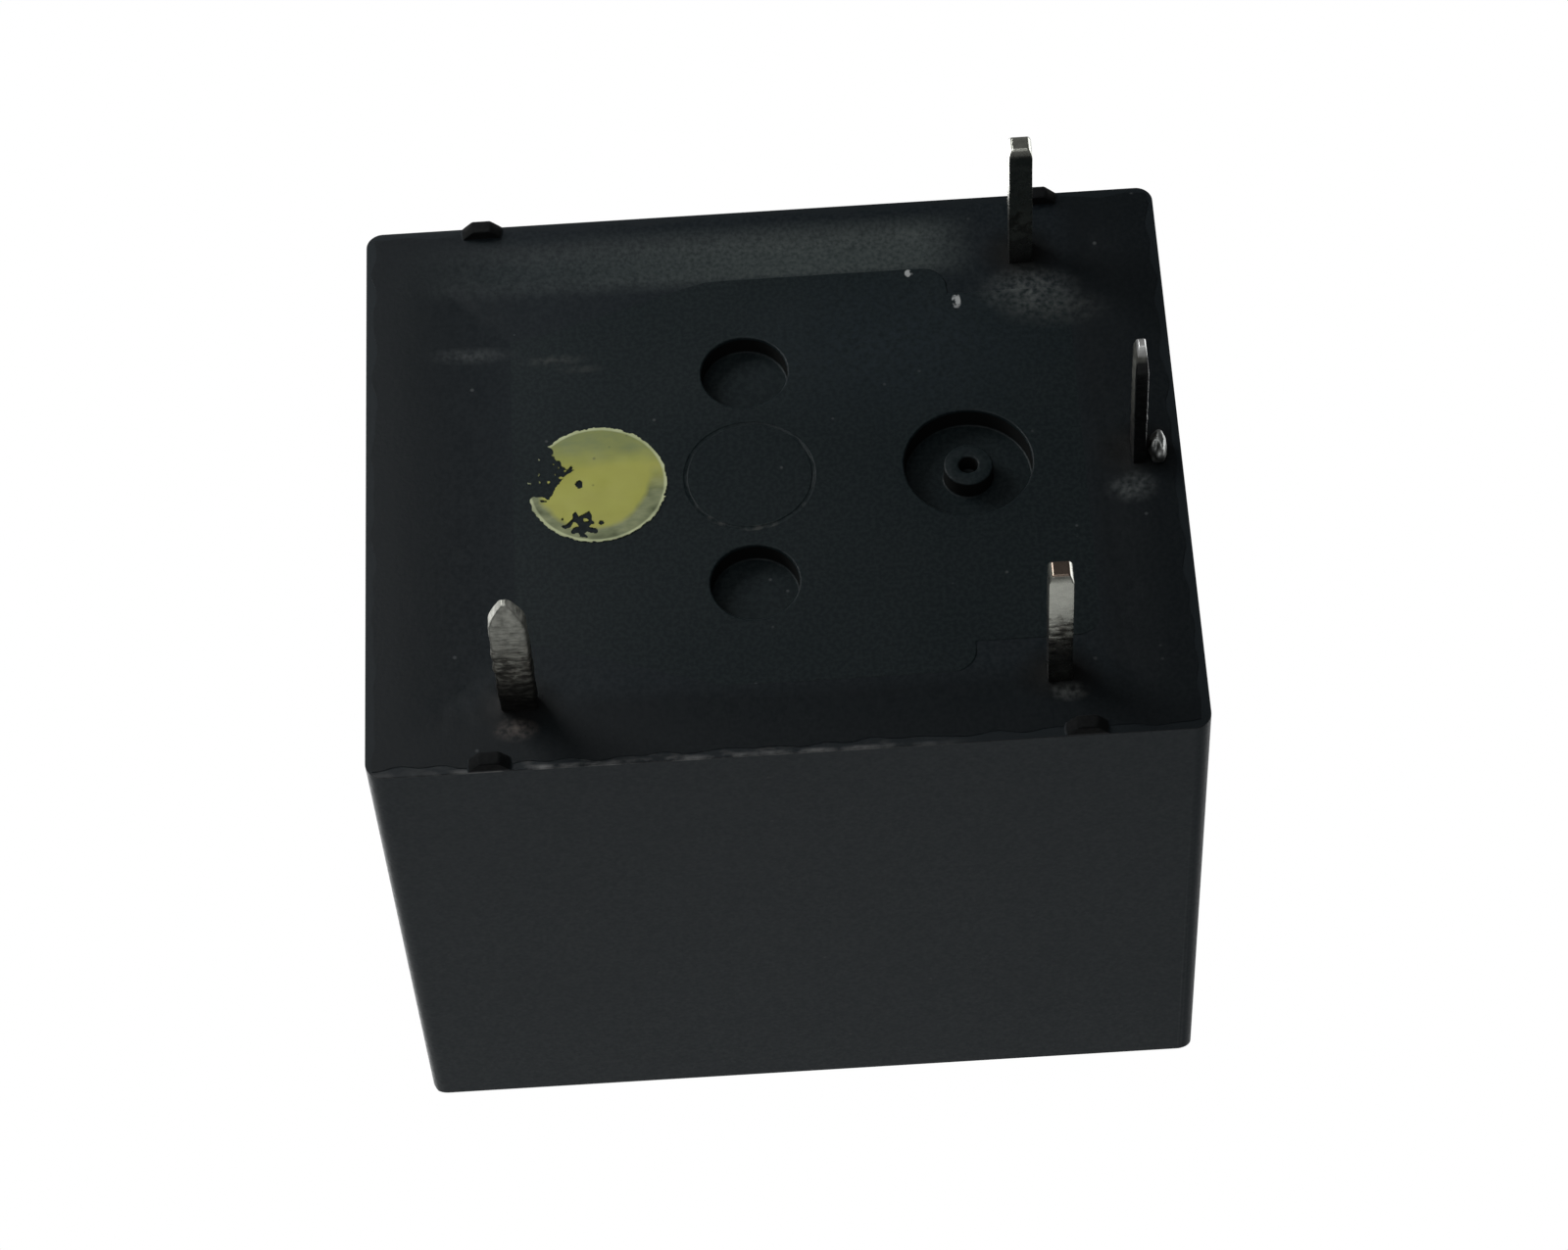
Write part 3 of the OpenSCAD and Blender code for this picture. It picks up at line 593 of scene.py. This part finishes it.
flakes = {
    (4.59, -4.74, pad_face): (0.14, 0.3, 0.3),
    (3.51, -5.65, pad_face): (0.13, 0.15, 0.3),
}
torn = spots(place, 0.07, seed=21)
for middle, reach in flakes.items():
    flake = reckon("MULTIPLY", patch(place, middle, reach), levels(torn, 0.35, 0.6, 0.2, 1.3))
    colour = two_colours(levels(flake, 0.22, 0.5), colour, (0.24, 0.25, 0.25))

# Painted shade: the recesses' walls deeper than 0.06 mm below the pad's face are painted darker, and made
# rougher.
facing = base_plastic.node_tree.nodes.new("ShaderNodeTexCoord").outputs["Normal"]
upright = levels(reckon("ABSOLUTE", along(facing, "Z"), 0.0), 0.6, 0.2)
recess_shade = reckon("MULTIPLY", upright, ramp(place, "Z", pad_face + shade_start, pad_face + shade_full))
join_sockets(two_colours(recess_shade, colour, (0.0015, 0.002, 0.002)), shader.inputs["Base Color"])
satin = levels(cloud, 0.3, 0.7, 0.42, 0.55)
join_sockets(reckon("ADD", satin, reckon("MULTIPLY", recess_shade, 0.45)), shader.inputs["Roughness"])
relief(shader, rub, 0.004)

piece = merged_copy("base")
for v in piece.verts:
    if v.co.z < ledge_z and on_ring(v.co):
        v.co.z = pad_face + ring_fade * (v.co.z - pad_face)
soften(piece, ring_edge, where=lambda middle: middle.z < ledge_z and on_ring(middle))
soften(piece, pad_edge, steps=3,
       where=lambda middle: middle.z < ledge_z - below_ledge and not on_ring(middle))
shown("base_moulding", piece, "housing", "base_plastic", base_plastic, "base")

# Cover
# The box over the works: thin walls, two bevelled top edges, a vent dimple and four small feet on its rim.
# Moulded from near-black plastic with a fine matt grain, pushed over the base, its front rim worn and
# painted with glints.
cover_edge = 0.08
foot_round = 0.1
foot_h = 0.3
wall_reach = 0.75
line_h = 0.06
line_w = 0.12
cover_low, cover_high = box_of("cover")
rim_z = cover_low.z + foot_h


def outside_of_cover(middle):
    """Whether this place is on the cover's outer faces or its rim and not in its hollow."""
    walls = min(cover_high.x - abs(middle.x), cover_high.y - abs(middle.y), cover_high.z - middle.z)
    return walls < wall_reach or middle.z < rim_z + 0.01


cover_plastic, shader, place = new_finish("cover_moulding_plastic", specular=0.15)
cloud = spots(place, 3.0, seed=13)
grain = spots(place, 0.05, seed=14)
colour = two_colours(cloud, (0.0145, 0.0205, 0.0242), (0.0192, 0.0256, 0.0295))
colour = two_colours(dust(place, 0.5, 0.04, seed=15), colour, (0.032, 0.036, 0.039))
wet_rim = ramp(place, "Z", rim_z + 0.05, rim_z + 0.02)
colour = two_colours(wet_rim, colour, (0.0038, 0.0066, 0.0084))
feet = ramp(place, "Z", rim_z - 0.02, rim_z - 0.06)
colour = two_colours(feet, colour, (0.0012, 0.0018, 0.002))

# Painted glints: lighter streaks along the worn front rim and its outer corner, on its left part.
worn_glint_span = reckon("MULTIPLY", ramp(place, "X", 4.5, 0.5), ramp(place, "X", -8.5, -5.5, 0.3, 1.0))
rub_glints = levels(spots(place, 0.07, seed=25, detail=5, stretch=(2.5, 1, 1)), 0.5, 0.74)
front_rim = ramp(place, "Y", cover_high.y - 0.35, cover_high.y - 0.15)
above_feet = ramp(place, "Z", rim_z - 0.06, rim_z - 0.02)
worn_rim_glints = reckon("MULTIPLY", wet_rim, front_rim, above_feet, worn_glint_span, rub_glints)
colour = two_colours(worn_rim_glints, colour, (0.036, 0.037, 0.037))
chip_glints = levels(spots(place, 0.09, seed=16, detail=6, stretch=(2.5, 2, 2)), 0.42, 0.68)
corner = ramp(place, "Y", cover_high.y - line_w, cover_high.y - line_w / 2)
corner_top = ramp(place, "Z", rim_z + line_h, rim_z + line_h / 2)
corner_foot = ramp(place, "Z", rim_z - 0.01, rim_z + 0.01)
worn_corner_glints = reckon("MULTIPLY", corner, corner_top, corner_foot, worn_glint_span, chip_glints)
join_sockets(two_colours(worn_corner_glints, colour, (0.17, 0.172, 0.17)), shader.inputs["Base Color"])
matt = levels(grain, 0.3, 0.7, 0.5, 0.64)
join_sockets(reckon("ADD", matt, reckon("MULTIPLY", feet, 0.3)), shader.inputs["Roughness"])
relief(shader, grain, 0.003)

piece = merged_copy("cover")
soften(piece, foot_round, steps=4, where=lambda middle: middle.z < cover_low.z + 0.01)
soften(piece, cover_edge, where=outside_of_cover)
shown("cover_box", piece, "housing", "cover_plastic", cover_plastic, "cover")

# Resin
# Sealing resin poured round the pad, which creeps up the walls and the terminals as it sets, runs a little
# over the rim and thins out over the pad's ends. Near-black and satin, with painted shade along its front,
# its ends and round the terminals, painted highlights in front of them, and a hazy band with a painted
# sheen along one long side.
well_x, well_y, well_z = box_of("epoxy_seal")[1]
corner_r = 1.2
over_rim = 0.4
run_share = 0.4
film_t = 0.012
creep = 0.85
left_creep = 2.2
right_creep = 1.25
pin_climb = 0.035
pin_creep = 0.2
trough_depth = 0.09
trough_w = 1.35
trough_skew = 0.75
sway_depth = 0.008
pit_depth = 0.005
calm_reach = 0.4
pad_step = 0.024
pad_r = 0.6
pad_ends = (-8.0, 7.3)
pad_steps = (-4.2, 4.4)
pad_half = 5.8
pad_end_half = 5.0
under_film = 0.05
under_pad = 0.012
tuck = 0.15
edge_gap = 0.05
grid_step = 0.07
terminals = (
    (pins["coil_terminal_a"], pin_side / 2, pin_side / 2),
    (pins["coil_terminal_b"], pin_side / 2, pin_side / 2),
    (com, blade_t / 2, blade_w / 2),
    (make, blade_w / 2, blade_t / 2),
)


def outside_box(x, y, x_range, half_y):
    """Distance from a box with the pad's round corners, below 0 inside it."""
    far_x = abs(x - sum(x_range) / 2) - (x_range[1] - x_range[0]) / 2 + pad_r
    far_y = abs(y) - half_y + pad_r
    return math.hypot(max(far_x, 0), max(far_y, 0)) + min(max(far_x, far_y), 0) - pad_r


def outside_pad(x, y):
    """Distance from the stepped pad, below 0 inside it."""
    return min(outside_box(x, y, pad_steps, pad_half), outside_box(x, y, pad_ends, pad_end_half))


def inside_wall(x, y):
    """Distance from the cover's inner wall, rounded in its corners and below 0 on its rim."""
    near = min(well_x - abs(x), well_y - abs(y))
    if near <= 0:
        return near
    far_x = max(corner_r - well_x + abs(x), 0)
    far_y = max(corner_r - well_y + abs(y), 0)
    return max(corner_r - math.hypot(far_x, far_y), 0) if near < corner_r else near


def step_up(value, low_end, high_end):
    """0 below the low end, 1 above the high end and smooth between them."""
    share = min(1.0, max(0.0, (value - low_end) / (high_end - low_end)))
    return share * share * (3 - 2 * share)


def resin_level(x, y):
    """Height of the resin's face, which lies lower where it creeps up a wall or a terminal."""
    film_z = rim_z - film_t
    wall = max(inside_wall(x, y), 0)
    spread = creep
    spread += (left_creep - creep) * step_up(-x, -0.5, 7.0)
    spread += (right_creep - creep) * step_up(x, 5.0, 7.0)
    z = film_z + (pad_face + pad_step - film_z) * (1 - math.exp(-(wall / spread) ** 2))
    back = step_up(-y, 5.4, 6.0) * step_up(x, -8.5, -6.0) * step_up(-x, -4.8, -3.0)
    z += trough_depth * back * math.sin(math.pi * min(1.0, wall / trough_w) ** trough_skew) ** 2
    for middle, half_x, half_y in terminals:
        gap = math.hypot(max(abs(x - middle.x) - half_x, 0), max(abs(y - middle.y) - half_y, 0))
        z -= pin_climb * math.exp(-gap / pin_creep)
    sway = noise.noise(Vector((x, y, 0)) * 0.8)
    pit = noise.noise(Vector((x, y, 7)) * 3.5)
    uneven = min(1.0, wall) * step_up(outside_pad(x, y), 0.0, calm_reach)
    return min(z + (sway_depth * sway + pit_depth * pit) * uneven, well_z)


def under_the_pad(x, y):
    """Whether the pad hides the resin here."""
    return outside_pad(x, y) < -tuck and resin_level(x, y) > pad_face + under_pad


def resin_back(x, y):
    """Height of the resin's hidden back: on the rim, on the pad or on the base's ledge."""
    if inside_wall(x, y) < edge_gap:
        return rim_z
    if outside_pad(x, y) < -edge_gap:
        return pad_face + under_film
    return well_z


resin = bmesh.new()
half_l = well_x + over_rim
half_w = well_y + over_rim
bmesh.ops.create_grid(resin, x_segments=round(2 * half_l / grid_step),
                      y_segments=round(2 * half_w / grid_step), size=1)
bmesh.ops.scale(resin, vec=(half_l, half_w, 1), verts=resin.verts)
hidden = [f for f in resin.faces if under_the_pad(*f.calc_center_median().xy)]
bmesh.ops.delete(resin, geom=hidden, context="FACES")
for v in resin.verts:
    v.co.z = resin_level(v.co.x, v.co.y)
    run = run_share * noise.noise(Vector((v.co.x, v.co.y, 3)) * 1.3)
    v.co.x += run * math.copysign(max(abs(v.co.x) - well_x, 0), v.co.x)
    v.co.y += run * math.copysign(max(abs(v.co.y) - well_y, 0), v.co.y)
filled = bmesh.ops.extrude_face_region(resin, geom=resin.faces[:], use_keep_orig=True)
for v in filled["geom"]:
    if isinstance(v, bmesh.types.BMVert):
        v.co.z = resin_back(v.co.x, v.co.y)
bmesh.ops.recalc_face_normals(resin, faces=resin.faces)

resin_finish, shader, place = new_finish("sealing_resin", specular=0.12)
cloud = spots(place, 0.9, seed=17)
speckle = spots(place, 0.05, seed=18, detail=4)
black = two_colours(cloud, (0.0026, 0.005, 0.0068), (0.0038, 0.0066, 0.0084))
grey = two_colours(cloud, (0.006, 0.0092, 0.0112), (0.008, 0.0112, 0.0132))
colour = two_colours(levels(speckle, 0.4, 0.62), black, grey)
# Painted shade: the resin is painted darker towards its front and both ends.
painted_edge_shade = reckon("MAXIMUM", ramp(place, "Y", 5.6, 6.2), ramp(place, "X", 7.0, 7.6),
               ramp(place, "X", -5.5, -8.5))
colour = two_colours(reckon("MULTIPLY", painted_edge_shade, 0.6), colour, (0.0012, 0.0024, 0.003))
colour = two_colours(dust(place, 0.5, 0.07, seed=24), colour, (0.035, 0.039, 0.04))
# A hazy band along the back long side, painted lighter as a sheen.
across = reckon("MULTIPLY", ramp(place, "Y", -7.4, -6.8), ramp(place, "Y", -5.5, -5.9))
lengthwise = reckon("MULTIPLY", ramp(place, "X", 5.2, 3.8), ramp(place, "X", -9.0, 0.5))
haze_and_sheen = reckon("MULTIPLY", across, lengthwise, levels(speckle, 0.3, 0.75, 0.3, 1.0))
colour = two_colours(haze_and_sheen, colour, (0.041, 0.05, 0.0485))
# Painted shade: a dark patch round each terminal's root.
for root in (*pins.values(), com, make):
    root_shade = patch(place, (*root.xy, pad_face), (1.1, 0.9, 1))
    colour = two_colours(levels(root_shade, 0.0, 0.7), colour, (0.0013, 0.0018, 0.0018))
colour = speckled_patches(place, colour, painted_terminal_highlights + scuffs)
join_sockets(colour, shader.inputs["Base Color"])
join_sockets(levels(speckle, 0.3, 0.7, 0.42, 0.56), shader.inputs["Roughness"])
relief(shader, speckle, 0.005)
shown("resin_fill", resin, "housing", "resin", resin_finish, "epoxy_seal")

# Paint mark
# A dot of yellow inspection paint, dabbed on the pad by hand.
# A thin film with a ragged bite at one side, a pinhole, a chip, a run-out rim and a pale beaded edge.
low, high = box_of("paint_mark")
dot = (low + high) / 2
dot_r = (high.x - low.x) / 2
film_step = 0.022
film_wave = 0.006
film_share = 0.985
pinhole = (-0.42, -0.03)
pinhole_r = (0.08, 0.12)
chip_at = (-0.34, 1.12)
chip_r = (0.34, 0.26)
bite = (
    (-1.9, -1.5), (-1.2, -1.16), (-1.0, -0.94), (-0.82, -0.6), (-0.5, -0.48), (-0.74, -0.3), (-0.9, -0.1),
    (-1.05, 0.2), (-1.2, 0.42), (-1.38, 0.3), (-1.6, 0.28), (-1.9, 0.2),
)


def within(x, y, outline):
    """Whether a place lies inside a closed outline."""
    crossings = 0
    for (x0, y0), (x1, y1) in zip(outline, outline[1:] + outline[:1]):
        if (y0 > y) != (y1 > y) and x < x0 + (y - y0) / (y1 - y0) * (x1 - x0):
            crossings += 1
    return crossings % 2 == 1


def painted(x, y):
    """Whether the film covers this place, counted from the dot's middle."""
    spot = Vector((x, y, 0))
    ragged = 0.1 * noise.noise(spot * 5) + 0.09 * noise.noise(spot * 12)
    edge = math.hypot(x, y) / dot_r + 0.2 * ragged
    hole = math.hypot((x - pinhole[0]) / pinhole_r[0], (y - pinhole[1]) / pinhole_r[1]) + 3 * ragged
    splash = noise.noise(spot * 6.5 + Vector((9, 2, 0)))
    chip = math.hypot((x - chip_at[0]) / chip_r[0], (y - chip_at[1]) / chip_r[1]) + 1.3 * splash
    fleck = noise.noise(spot * 10 + Vector((4, 7, 0))) > 0.52
    bitten = within(x + ragged, y - ragged, bite) and not fleck
    return edge < film_share and hole > 1 and chip > 0.9 and not bitten


film = bmesh.new()
film_cells = round(2 * dot_r / film_step)
bmesh.ops.create_grid(film, x_segments=film_cells, y_segments=film_cells, size=dot_r)
bare = [f for f in film.faces if not painted(*f.calc_center_median().xy)]
bmesh.ops.delete(film, geom=bare, context="FACES")
bmesh.ops.smooth_vert(film, verts=[v for v in film.verts if v.is_boundary], factor=0.5, use_axis_x=True,
                      use_axis_y=True)
for v in film.verts:
    v.co.z = low.z + film_wave * (1 + noise.noise(v.co * 2.5))
bmesh.ops.translate(film, vec=(dot.x, dot.y, 0), verts=film.verts)
coated = bmesh.ops.extrude_face_region(film, geom=film.faces[:], use_keep_orig=True)
for v in coated["geom"]:
    if isinstance(v, bmesh.types.BMVert):
        v.co.z = high.z
bmesh.ops.recalc_face_normals(film, faces=film.faces)

paint, shader, place = new_finish("inspection_paint", specular=0.35)
flow = spots(place, 0.45, seed=19)
brush = spots(place, 0.16, seed=20, stretch=(2, 1, 1))
depth = patch(place, (dot.x, dot.y, low.z), (dot_r, dot_r, 1))
slant = reckon("ADD", along(place, "X"), along(place, "Y"))
slanted = levels(slant, dot.x + dot.y + 0.5, dot.x + dot.y + 2.0, 0.0, 0.13)
wavy = reckon("SUBTRACT", reckon("ADD", depth, levels(flow, 0.3, 0.7, -0.07, 0.07)), slanted)
colour = two_colours(flow, (0.228, 0.236, 0.048), (0.285, 0.29, 0.064))
colour = two_colours(levels(brush, 0.35, 0.7, 0.0, 0.3), colour, (0.2, 0.19, 0.05))
colour = two_colours(dust(place, 0.4, 0.4, seed=27), colour, (0.1, 0.095, 0.03))
upper = ramp(place, "Y", dot.y - 0.45, dot.y - 1.0)
upper = reckon("MULTIPLY", upper, levels(brush, 0.3, 0.7, 0.6, 1.0))
colour = two_colours(upper, colour, (0.118, 0.143, 0.06))
run_out = reckon("MULTIPLY", levels(wavy, 0.26, 0.14), ramp(place, "Y", dot.y - 0.5, dot.y + 0.3))
run_out = reckon("MAXIMUM", run_out, ramp(place, "X", dot.x - 1.25, dot.x - 1.4))
thin = two_colours(levels(brush, 0.35, 0.65), (0.06, 0.074, 0.034), (0.18, 0.2, 0.11))
colour = two_colours(run_out, colour, thin)
beaded_edge = reckon("MULTIPLY", levels(depth, 0.075, 0.05), levels(brush, 0.3, 0.6, 0.5, 1.0))
join_sockets(two_colours(beaded_edge, colour, (0.34, 0.37, 0.22)), shader.inputs["Base Color"])
join_sockets(levels(flow, 0.3, 0.7, 0.32, 0.5), shader.inputs["Roughness"])
relief(shader, flow, 0.01)
shown("paint_film", film, "housing", "yellow_paint", paint, "paint_mark")

# Floor, backdrop and light
# The relay was photographed lying on its cover, so the main view looks up at it from below its terminals.
# The pale floor under the terminals shows from above only, and white paper closes every view.
floor_r = 0.78
paper_r = 0.8
world = bpy.data.worlds.new("studio")
bpy.context.scene.world = world
world.use_nodes = True
world.node_tree.nodes["Background"].inputs["Color"].default_value = (0.14, 0.14, 0.14, 1)
world.node_tree.nodes["Background"].inputs["Strength"].default_value = 1.0

floor_mesh = bmesh.new()
bmesh.ops.create_circle(floor_mesh, cap_ends=True, segments=96, radius=floor_r)
bmesh.ops.translate(floor_mesh, vec=(0, 0, tip_z * mm), verts=floor_mesh.verts)
paper_mesh = bmesh.new()
bmesh.ops.create_icosphere(paper_mesh, subdivisions=4, radius=paper_r)
stage = {}
for name, piece in (("floor", floor_mesh), ("paper", paper_mesh)):
    mesh = bpy.data.meshes.new(name)
    piece.to_mesh(mesh)
    piece.free()
    stage[name] = bpy.data.objects.new(name, mesh)
    bpy.context.collection.objects.link(stage[name])
    stage[name].visible_diffuse = False
    stage[name].visible_glossy = False
    stage[name].visible_transmission = False
    stage[name].visible_shadow = False

floor_finish, shader, place = new_finish("pale_floor", specular=0.1)
nodes = floor_finish.node_tree.nodes
fibre = spots(place, 0.3, seed=23)
join_sockets(two_colours(fibre, (0.86, 0.86, 0.855), (0.89, 0.89, 0.885)), shader.inputs["Base Color"])
shader.inputs["Roughness"].default_value = 0.8
far_away = patch(place, (0, 0, tip_z), (260, 260, 260))
paper_glow = nodes.new("ShaderNodeEmission")
sweep = nodes.new("ShaderNodeMixShader")
join_sockets(levels(far_away, 0.25, 0.9), sweep.inputs["Fac"])
join_sockets(paper_glow.outputs["Emission"], sweep.inputs[1])
join_sockets(shader.outputs["BSDF"], sweep.inputs[2])
one_side = nodes.new("ShaderNodeMixShader")
join_sockets(nodes.new("ShaderNodeNewGeometry").outputs["Backfacing"], one_side.inputs["Fac"])
join_sockets(sweep.outputs["Shader"], one_side.inputs[1])
join_sockets(nodes.new("ShaderNodeBsdfTransparent").outputs["BSDF"], one_side.inputs[2])
join_sockets(one_side.outputs["Shader"], nodes["Material Output"].inputs["Surface"])
stage["floor"].data.materials.append(floor_finish)

white_paper = bpy.data.materials.new("white_paper")
white_paper.use_nodes = True
nodes = white_paper.node_tree.nodes
glow = nodes.new("ShaderNodeEmission")
glow.inputs["Strength"].default_value = 1.0
join_sockets(glow.outputs["Emission"], nodes["Material Output"].inputs["Surface"])
stage["paper"].data.materials.append(white_paper)

lamps = {
    "lamp_overhead": ((-0.06, 0.03, -0.25), 0.16, 0.16),
    "window_behind_camera": ((-0.06, 0.2, -0.14), 0.16, 0.07),
    "window_at_the_left": ((-0.034, -0.022, -0.03), 0.025, 0.024),
    "table_in_front": ((-0.02, 0.045, 0.055), 0.1, 0.016),
    "key_from_above": ((-0.18, -0.16, 0.22), 0.25, 0.9),
    "fill_from_above": ((0.22, -0.1, 0.14), 0.25, 0.5),
}
for name, (spot, size, watts) in lamps.items():
    lamp = bpy.data.lights.new(name, "AREA")
    lamp.size = size
    lamp.energy = watts
    holder = bpy.data.objects.new(name, lamp)
    bpy.context.collection.objects.link(holder)
    holder.location = spot
    holder.rotation_euler = (-Vector(spot)).to_track_quat("-Z", "Y").to_euler()
    holder.visible_camera = False

# Camera
# Stands where the photograph was taken from: in front of the long side that faces it and beyond the
# terminals, so that they point up in the picture, and turned a little as the camera was held.
aim = Vector((0.0, 0.4, 6.15)) * mm
stand = Vector((0.92, 63.73, -88.74)) * mm
turn = math.radians(-4.22)
camera = bpy.data.cameras.new("camera")
camera.sensor_width = 36
camera.lens = 108
camera.clip_start = 0.005
holder = bpy.data.objects.new("camera", camera)
bpy.context.collection.objects.link(holder)
forward = (aim - stand).normalized()
right = forward.cross(Vector((0, 0, -1))).normalized()
up = right.cross(forward)
tilted_right = math.cos(turn) * right + math.sin(turn) * up
tilted_up = math.cos(turn) * up - math.sin(turn) * right
axes = Matrix((tilted_right, tilted_up, -forward)).transposed()
holder.matrix_world = Matrix.Translation(stand) @ axes.to_4x4()
bpy.context.scene.camera = holder
bpy.context.scene.view_settings.view_transform = "Standard"
